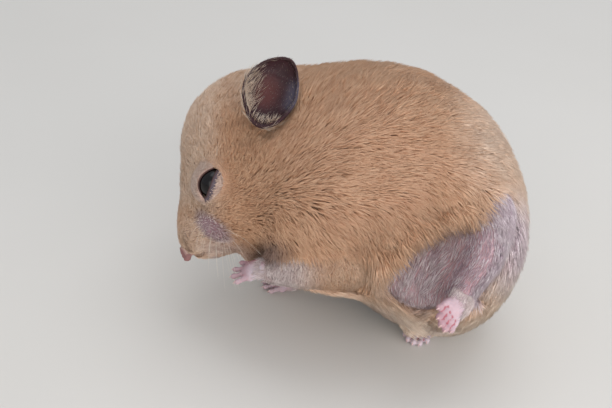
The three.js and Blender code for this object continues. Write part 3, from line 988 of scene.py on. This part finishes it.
LIE = (
    (-8, -18, 22, 0.6, 0.3, 0.75), (-9, -20, 8, 0.85, -0.2, 0.5), (-12, -17, -3, 0.6, -0.2, -0.4),
    (-2, -25, 6, 0.95, -0.1, 0.2), (-4, -25, -5, 0.6, -0.1, -0.7), (-8, -17, -12, 0.35, 0, -0.95),
    (2, -14, 27, 0.6, 0.5, 0.7), (15, -14, 26, 0.7, 0.4, 0.55), (9, -27, 8, 1, -0.1, 0.1),
    (5, -27, -6, 0.45, -0.1, -0.85), (5, -26, -13, 0.2, -0.1, -1), (14, -26, -8, 0.12, -0.3, -1),
    (18, -27, 1, 0.6, -0.2, -0.6), (25, -25, -1, 0.5, -0.2, -0.75), (27, -20, 12, 0.97, 0, 0.15),
    (30, -8, 18, 0.9, 0.1, 0.2), (37, -10, 6, 0.9, 0, -0.5), (39, -12, -8, 0.35, 0, -0.95),
    (33, -18, -20, -0.2, 0, -0.95), (34, -20, -4, 0.3, -0.1, -0.95), (30, -14, -26, -0.4, 0, -0.8),
    (0, 0, 32, 0.9, 0.35, 0.1), (15, 0, 31, 0.9, 0.3, 0), (30, 0, 22, 0.85, 0.1, -0.4),
    (40, 0, 2, 0.3, 0, -1), (36, 0, -18, -0.3, 0, -1),
    (-8, 18, 18, 0.85, 0.1, -0.2), (5, 18, 24, 0.85, 0.3, -0.35), (9, 27, 6, 0.9, 0, -0.45),
    (-4, 25, 0, 0.8, 0, -0.6), (5, 24, -12, 0.5, -0.2, -0.85), (26, 24, 0, 0.75, 0, -0.65),
    (30, 18, -18, 0.2, 0, -0.95), (-9, 16, -12, 0.4, 0, -0.9),
    (-4, 0, -18, 0.95, 0, -0.2), (12, -4, -24, 1, 0, 0), (14, -20, -18, -0.1, 0, -0.9),
    (20, -22, -12, -0.5, -0.1, -0.85), (26, -20, -8, -0.45, 0, -0.85),
    (-4, -20, -14, -0.2, -0.2, -0.95), (-12, -18, -15, -0.5, -0.1, -0.8),
    (29, -25, -6, -0.3, 0, -0.95), (25, -23, -16, -0.5, 0, -0.85),
)
lie = LIE + LIE_BOTH + tuple((x, -y, z, dx, -dy, dz) for x, y, z, dx, dy, dz in LIE_BOTH if y)
lie = np.array(lie, float)
lie[:, 3:] /= np.linalg.norm(lie[:, 3:], axis=1)[:, None]
REACH = 6.5  # how far each row holds, in mm


def unit(vectors):
    """Vectors brought to length 1."""
    return vectors / np.maximum(np.linalg.norm(vectors, axis=1), 1e-9)[:, None]


def flat(vectors, normals):
    """Vectors laid down on the skin."""
    return unit(vectors - normals * np.sum(vectors * normals, axis=1)[:, None])


def lie_at(points, normals):
    """The way the coat runs at each point, laid flat on the skin."""
    flow = np.zeros_like(points)
    weight = np.zeros(len(points))
    for row in lie:
        w = 1 / (1 + np.sum((points - row[:3]) ** 2, axis=1) / REACH**2) ** 3
        flow += w[:, None] * row[3:]
        weight += w
    return flat(flow / weight[:, None], normals)


def swirl(points, scale, seed):
    """A smooth random number about zero at each point, made of a few waves."""
    waves = np.random.default_rng(seed)
    total = np.zeros(len(points))
    for _ in range(7):
        k = unit(waves.normal(size=(1, 3)))[0] / scale * waves.uniform(0.6, 1.5) * 2
        total += np.sin(points @ k + waves.uniform(0, 6.28))
    return total / 2.6


# Coat length, thickness of each tuft and how closely they stand, all over the skin.
depth = coat_depth(skin_points, kinds)
tuft_length = 0.95 + 1.05 * depth + 1.7 * fade(depth, 2.2, 1.2)
tuft_width = 0.10 + 0.077 * depth
crowding = 27 - 6.4 * depth
crowding *= 1 - 0.35 * fade(skin_points @ TURN[2] + HEART[2], 2, 9)  # the underside
shank = np.max(
    [fade(limb_distance(skin_points, *LIMBS[name]), 0.3, 2.0) for name in ("shank_left", "tail")],
    axis=0,
)
pad = soft_blot(folded, *PAD)
crowding *= (1 - 0.82 * kinds["groin"]) * (1 - 0.1 * shank) * (1 - 0.78 * pad)
tuft_length += (4.2 - tuft_length) * kinds["groin"]
tuft_length += (2.3 - tuft_length) * shank
tuft_width += (0.16 - tuft_width) * np.maximum(kinds["groin"], shank)
crowding *= 1 + 0.3 * kinds["muzzle"]
crowding *= 1 - fade(np.maximum(kinds["paw"], 0.9 * kinds["nose"]), 0.6, 0.15)
EYE_CLEAR, EAR_CLEAR = 3.55, (7.2, 5.8, 9.2)  # the body's own tufts stay out of these
crowding[body & (np.linalg.norm(folded - EYE, axis=1) < EYE_CLEAR)] = 0
crowding[body & (np.linalg.norm(ear_points / EAR_CLEAR, axis=1) < 1)] = 0
# Short down runs from the wrists and ankles a little way over the paws.
PAW_END = 9  # every point of a paw lies less than this ahead of its ankle
paw_ahead = np.full(len(skin_points), 99.0)
paw_way = np.zeros_like(skin_points)
for shape, place in PAWS.values():
    paw_points = local_to(skin_points, place)
    near = ~body & (np.abs(paw_points) < PAW_BOX).all(axis=1)
    paw_ahead[near] = paw_points[near, 0] - (0.6 if shape is HIND_FOOT else 0.0)
    paw_way[near] = np.array(place)[:3, 0]
crowding[~body] = (26 * fade(paw_ahead, -3.4, -1.0))[~body]
tuft_length[paw_ahead < PAW_END] = 1.5
tuft_width[paw_ahead < PAW_END] = 0.12
# The lids carry short down that thins out toward the rims, and the ears a sparse dark down.
bare_rim = np.where(eye_points[:, 1] > 0, 0.45, 0.1)
crowding[lid] = (34 * fade(slit_gap - bare_rim, 0.5, 0.0))[lid]
crowding[lid & (eye_points[:, 2] < -0.3)] = 0
tuft_length[lid] = (0.7 + 0.55 * np.minimum(slit_gap, 2.2))[lid]
tuft_width[lid] = 0.13
ear_back = pinna & (ear_facing[:, 1] > 0)
ear_front = pinna & ~ear_back & (ear_x < -1.6)
ear_foot = pinna & ~ear_back & (ear_z < -6.0)
ear_edge = pinna & ear_back & (ear_x < -3.4) & (ear_z < 1.0)
front_crowding = (8 * fade(ear_x, -4.6, -1.2) * fade(ear_z, 0.5, 5.0))[ear_front]
for part, close, long in (
    (pinna, 1.2, 0.8), (ear_back, 6, 0.8), (ear_front, front_crowding, 2.8), (ear_foot, 6, 3.0),
    (ear_edge, 16, 2.9),
):
    crowding[part] = close
    tuft_length[part] = long
tuft_width[pinna] = 0.08

skin_mesh.calc_loop_triangles()
triangles = read(skin_mesh.loop_triangles, "vertices", 3).astype(int)
triangle_loops = read(skin_mesh.loop_triangles, "loops", 3).astype(int)
chart = read(skin_mesh.uv_layers["OFBake"].uv, "vector", 2)
corners = skin_points[triangles]
area = np.linalg.norm(
    np.cross(corners[:, 1] - corners[:, 0], corners[:, 2] - corners[:, 0]), axis=1
) / 2
wanted = area * crowding[triangles].mean(1)
TUFTS = 245000
steps = np.cumsum(wanted) / wanted.sum()
picks = (np.arange(TUFTS) + rng.uniform(size=TUFTS)) / TUFTS
chosen = np.searchsorted(steps, picks).clip(0, len(steps) - 1)
r1, r2 = np.sqrt(rng.uniform(size=TUFTS)), rng.uniform(size=TUFTS)
bary = np.stack([1 - r1, r1 * (1 - r2), r1 * r2], 1)


def at_roots(values):
    """A property of the skin's points, taken at every tuft's root."""
    return np.einsum("nk,nk...->n...", bary, values[triangles[chosen]])


roots = at_roots(skin_points)
normals = unit(at_roots(outward))
root_marks = at_roots(marks)
root_chart = np.einsum("nk,nkc->nc", bary, chart[triangle_loops[chosen]])
GUARD_SHARE = 0.1
guard = rng.uniform(size=TUFTS) < GUARD_SHARE  # these stand out past the rest
lengths = at_roots(tuft_length) * rng.uniform(0.72, 1.15, TUFTS) * (1 + 0.22 * guard)
widths = at_roots(tuft_width) * rng.uniform(0.75, 1.25, TUFTS) * (1 - 0.3 * guard)
thick = np.maximum(at_roots(depth), 0.2)
root_kinds = {name: at_roots(values) for name, values in kinds.items()}
way = lie_at(roots, normals)

# On the ears the hair runs up to the rim, long and pale along the front edge and the foot.
on_ear = root_kinds["pinna"] > 0.5
side_sign = np.where(roots[:, 1:2] > 0, (1, -1, 1), 1)
ear_axes = np.array(ear_place)[:3, :3]
up_ear = np.array((0.28, -0.05, 1.0)) @ ear_axes.T * side_sign
way = np.where(on_ear[:, None], flat(up_ear, normals), way)
over_rim = at_roots(ear_edge.astype(float)) > 0.5
way[over_rim] = unit(np.array((0.8, -0.3, 1.0)) @ ear_axes.T * side_sign[over_rim])
fringe_ear = on_ear & (lengths > 2.2)
root_marks[fringe_ear] = (1.0, 0.0, 0.0, 0.9)
root_marks[over_rim] = (0.7, 0.0, 0.0, 0.4)
sunk_ear = on_ear & ~fringe_ear & (at_roots(ear_z) < -5.5)
root_marks[sunk_ear] = (0.3, 0.0, 0.0, 0.1)
# The painted shade of the dusky mask is eased on the groin's hair.
root_marks[:, 2] *= 1 - 0.45 * root_kinds["groin"]
root_marks[:, 1] *= 1 - 0.25 * at_roots(pad)
on_paw = at_roots(paw_ahead) < PAW_END
way[on_paw] = flat(at_roots(paw_way), normals)[on_paw]
root_marks[on_paw] = (1.0, 0.6, 0.0, 0.0)
lid_roots = root_kinds["lid"] > 0.5
root_marks[lid_roots] = (0.6, 0.25, 0.0, 0.06)
from_slit = at_roots(eye_points) * (0.6, 1.0, 0.0) @ np.array(eye_frame)[:3, :3].T * side_sign
lid_way = flat(0.9 * unit(from_slit) + 0.45 * way, normals)
way = np.where(lid_roots[:, None], lid_way, way)
turn = 0.16 * swirl(roots, 2.6, 3) + 0.12 * swirl(roots, 0.9, 4)
turn = turn + rng.normal(0, 0.1, TUFTS) * (1 + 0.5 * thick)
way = unit(way * np.cos(turn)[:, None] + np.cross(normals, way) * np.sin(turn)[:, None])

# Each tuft is bent over the skin below it in two steps. Along the flank's lower edge, and by the
# ears, it hangs free of the hollow under it.
wrapped = (body | lid)[triangles].all(axis=1)
skin_tree = BVHTree.FromPolygons([tuple(p) for p in skin_points], triangles[wrapped].tolist())
fringe = fade(egg_distance(roots, (17.2, -27, -15.6), (18.5, 11, 10), -42), 2.0, 5.5)
fringe *= 1 - fade(root_kinds["groin"], 0.6, 0.2)
lengths += 2.3 * fringe * rng.uniform(0.2, 1, TUFTS)
free = np.maximum.reduce([fringe, on_ear, on_paw])


def along_skin(points, normals_before, ways, step):
    """One step along the coat: the skin's nearest point there and its normal."""
    ahead = points + ways * step[:, None]
    found, facing = ahead.copy(), normals_before.copy()
    for i in np.flatnonzero(free < 0.99):
        place, normal, _, _ = skin_tree.find_nearest(ahead[i])
        found[i], facing[i] = place, normal
    facing = unit(facing * 0.6 + normals_before * 0.4)
    found += (ahead - found) * free[:, None]
    facing = unit(facing + (normals_before - facing) * free[:, None])
    return found, facing


half = lengths * 0.5
middle_points, middle_normals = along_skin(roots, normals, way, half)
second_way = flat(way, middle_normals)
tip_points, tip_normals = along_skin(middle_points, middle_normals, second_way, half)
rise = thick * rng.uniform(0.6, 1.12, TUFTS) + 0.3 * thick * guard
rise += 0.12 * thick * swirl(roots, 2.2, 5) + 0.08 * thick * swirl(roots, 0.8, 6)
rise = np.clip(rise, 0.06, np.minimum(thick + 0.5, lengths * 0.8))
rise[lid_roots] = 0.2 + 0.4 * rise[lid_roots]
rise[on_ear | on_paw] = 0.12
rise[fringe_ear] = 0.5
middles = middle_points + middle_normals * (rise * 0.62)[:, None]
tips = tip_points + tip_normals * rise[:, None]

# Neighbouring tufts lean together into small locks.
LOCKS = TUFTS // 16
LOCK_REACH = 2.5
lock_roots = rng.choice(TUFTS, LOCKS, replace=False)
lock_tree = KDTree(LOCKS)
for i, k in enumerate(lock_roots):
    lock_tree.insert(roots[k], i)
lock_tree.balance()
nearest = np.array([lock_tree.find(point)[1] for point in roots])
lock = lock_roots[nearest]
together = 0.18 - 0.08 * root_kinds["face"] + 0.35 * root_kinds["groin"]
together = together * rng.uniform(0.4, 1.2, TUFTS) * (1 - free)
together *= np.linalg.norm(roots - roots[lock], axis=1) < LOCK_REACH
tips += (tips[lock] - tips + (roots - roots[lock]) * 0.3) * together[:, None]
middles += (middles[lock] - middles + (roots - roots[lock]) * 0.75) * (0.5 * together)[:, None]
lock_shade = rng.uniform(size=LOCKS)[nearest]

PATCH = 0.003  # how wide a tuft's patch of the UV map is


def spindles(points, ups, wide, shades, marks, charts):
    """Joined spikes, each with pointed ends and three-sided rings between: its corners, faces, UVs
    and colours. The rows of points are the two ends and the rings' middles."""
    total, rows = points.shape[:2]
    rings, each = rows - 2, 3 * (rows - 2) + 2
    corners = [points[:, 0]]
    for k in range(1, rows - 1):
        ahead = unit(points[:, k + 1] - points[:, k - 1])
        across = unit(np.cross(ups[:, k - 1], ahead))
        up = np.cross(ahead, across)
        for angle in (90, 210, 330):
            c, s = math.cos(math.radians(angle)), math.sin(math.radians(angle))
            corners.append(points[:, k] + (across * c + up * (0.7 * s)) * wide[:, k - 1 : k])
    corners.append(points[:, -1])
    corners = np.stack(corners, 1).reshape(-1, 3)
    along = np.repeat(np.linspace(0, 1, rows), [1] + [3] * rings + [1])
    faces = []
    for j in range(3):
        n = (j + 1) % 3
        faces.append((0, 1 + n, 1 + j))
        for k in range(rings - 1):
            a, b = 1 + 3 * k + j, 1 + 3 * k + n
            faces += [(a, b, b + 3), (a, b + 3, a + 3)]
        faces.append((each - 4 + j, each - 4 + n, each - 1))
    faces = np.array(faces)
    spread = np.zeros((each, 2))  # the corners of one tuft, laid out over its patch
    spread[:, 0] = along - 0.5
    spread[1:-1, 1] = np.tile((-0.4, 0.0, 0.4), rings)
    uvs = (charts[:, None] + spread[faces.ravel()] * PATCH).reshape(-1, 2)
    faces = (faces[None] + (np.arange(total) * each)[:, None, None]).reshape(-1, 3)
    strand = np.empty((total, each, 4))
    strand[:, :, 0] = along
    strand[:, :, 1:] = shades[:, None]
    return corners, faces, uvs, strand.reshape(-1, 4), np.repeat(marks, each, axis=0)


def spindle_mesh(name, corners, faces, uvs, strand, marks):
    """A mesh of what spindles() made."""
    mesh = bpy.data.meshes.new(name)
    mesh.vertices.add(len(corners))
    mesh.vertices.foreach_set("co", corners.astype(np.float32).ravel())
    mesh.loops.add(faces.size)
    mesh.loops.foreach_set("vertex_index", faces.astype(np.int32).ravel())
    mesh.polygons.add(len(faces))
    mesh.polygons.foreach_set("loop_start", np.arange(0, faces.size, 3, dtype=np.int32))
    mesh.polygons.foreach_set("use_smooth", np.ones(len(faces), bool))
    mesh.update(calc_edges=True)
    layer = mesh.uv_layers.new(name="OFBake")
    layer.uv.foreach_set("vector", uvs.astype(np.float32).ravel())
    write_colours(mesh, "strand", strand)
    write_colours(mesh, "marks", marks)
    return mesh


# Hair: dark and warm at the root, gold along the shaft, paler at the tip, no two tufts quite alike.
hair_material, nodes, links, shader = new_material("hamster hair")
colours, spot = marked(nodes, links, 180)
strand = nodes.new("ShaderNodeAttribute")
strand.attribute_name = "strand"
parts = nodes.new("ShaderNodeSeparateColor")
links.new(strand.outputs["Color"], parts.inputs[0])
along, own, lock_tone = parts.outputs
tip_tone = mix(nodes, links, 0.2, colours.outputs["Hair"], paint("#F6EADC"))
ramp = nodes.new("ShaderNodeMapRange")
ramp.interpolation_type = "SMOOTHSTEP"
set_inputs(ramp, {"From Min": 0.1, "From Max": 0.8})
links.new(along, ramp.inputs["Value"])
shaft = mix(nodes, links, ramp.outputs["Result"], colours.outputs["Root"], tip_tone)
streak = maths(nodes, links, "MULTIPLY", maths(nodes, links, "ADD", own, lock_tone), 0.5)
darker = mix(nodes, links, 1.0, shaft, colours.outputs["Streak"], "MULTIPLY")
links.new(mix(nodes, links, streak, darker, shaft), shader.inputs["Base Color"])
links.new(maths(nodes, links, "MULTIPLY_ADD", own, 0.2, 0.5), shader.inputs["Roughness"])
set_inputs(shader, {"Specular IOR Level": 0.3})

FLOOR_GAP = 0.0002
ROOT_DEPTH = 0.25
coat_points = np.stack([roots - normals * ROOT_DEPTH, middles, tips], 1).reshape(-1, 3)
coat_points = to_row(coat_points)
lowest = FLOOR_GAP + 0.0001 * rng.uniform(size=len(coat_points))
coat_points[:, 2] = np.maximum(coat_points[:, 2], lowest)
coat_points = coat_points.reshape(-1, 3, 3)
coat_ups = (middle_normals @ TURN.T + rng.normal(0, 0.45, (TUFTS, 3)))[:, None]
coat_wide = widths[:, None] * 0.5 * MM
coat_shades = np.stack([rng.uniform(size=TUFTS), lock_shade, rng.uniform(size=TUFTS)], 1)

# The coat's pieces, each with its share of the tufts, from the nose to the tail.
COAT_NAMES = ("face", "cheeks", "head", "neck", "shoulders", "back", "loins", "hips", "rump")
shares = np.quantile(roots[:, 0], np.arange(1, len(COAT_NAMES)) / len(COAT_NAMES))
coat_part = np.digitize(roots[:, 0], shares)
for k, name in enumerate(COAT_NAMES):
    here = coat_part == k
    tufts = (coat_points, coat_ups, coat_wide, coat_shades, root_marks, root_chart)
    arrays = spindles(*(values[here] for values in tufts))
    coat_mesh = spindle_mesh("coat_" + name, *arrays)
    coat_mesh.materials.append(hair_material)
    piece = new_piece("coat_" + name, coat_mesh)
    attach(piece, "root")

# ---------------- whiskers
# Fine pale whiskers that grow in rows from the pads beside the nose and droop as they reach out,
# with two more over each eye. Each is one tapering hair set in the skin.

WHISKER_ROWS, WHISKERS_IN_ROW, WHISKER_CUTS = 4, 6, 9
whisker_material, shader = mottled_material("hamster whisker", 300, "#D9CDBB", "#F3EADC")
set_inputs(shader, {"Roughness": 0.35})
whisker_roots, whisker_ways, whisker_lengths = [], [], []
for row in range(WHISKER_ROWS):
    for k in range(WHISKERS_IN_ROW):
        a, b = k / (WHISKERS_IN_ROW - 1), row / (WHISKER_ROWS - 1)
        spot = (-31.8 + 6.0 * a - 0.8 * b + rng.normal(0, 0.15), -15, -4.0 - 2.6 * a - 3.4 * b)
        whisker_roots.append(spot)
        lift = 0.25 - 0.9 * b + rng.normal(0, 0.08)
        whisker_ways.append((-0.25 + 0.95 * a * (1 - 0.5 * b), -0.75, lift))
        whisker_lengths.append((7.0 + 7.0 * a - 3.0 * b) * rng.uniform(0.8, 1.1))
for x, z, dx in ((-31.0, 9.6, -0.2), (-28.4, 10.4, 0.2)):
    whisker_roots.append((x, -15, z))
    whisker_ways.append((dx, -0.7, 0.75))
    whisker_lengths.append(7.5)
droop = np.array(stance_turn.transposed() @ Vector((0.25, 0, -1)))
t = np.linspace(0, 1, WHISKER_CUTS + 2)[:, None]
for name, side in SIDES:
    lines = []
    mirror = np.array((1, -1 if side is MIRROR else 1, 1))
    for spot, toward_tip, length in zip(whisker_roots, whisker_ways, whisker_lengths):
        found = skin_tree.ray_cast(Vector(spot * mirror), Vector((0, 1, 0) * mirror))
        root, facing = np.array(found[0]), np.array(found[1])
        heading = unit((np.array(toward_tip) * mirror + 0.3 * facing)[None])[0]
        sag = droop * (0.42 * length * t**2)
        lines.append(root + heading * length * t + sag - facing * 0.3 * (1 - t))
    lines = to_row(np.array(lines).reshape(-1, 3)).reshape(len(lines), -1, 3)
    lines[:, :, 2] = np.maximum(lines[:, :, 2], 0.0003)
    thin = np.linspace(0.048, 0.015, WHISKER_CUTS) * MM
    ups = np.broadcast_to((0.2, 0.3, 1.0), (len(lines), WHISKER_CUTS, 3))
    shades = np.zeros((len(lines), 3))
    wide, plain = np.tile(thin, (len(lines), 1)), np.zeros((len(lines), 4))
    arrays = spindles(lines, ups, wide, shades, plain, np.full((len(lines), 2), 0.5))
    whisker_mesh = spindle_mesh("whiskers_" + name, *arrays)
    whisker_mesh.materials.append(whisker_material)
    piece = new_piece("whiskers_" + name, whisker_mesh)
    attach(piece, "root")
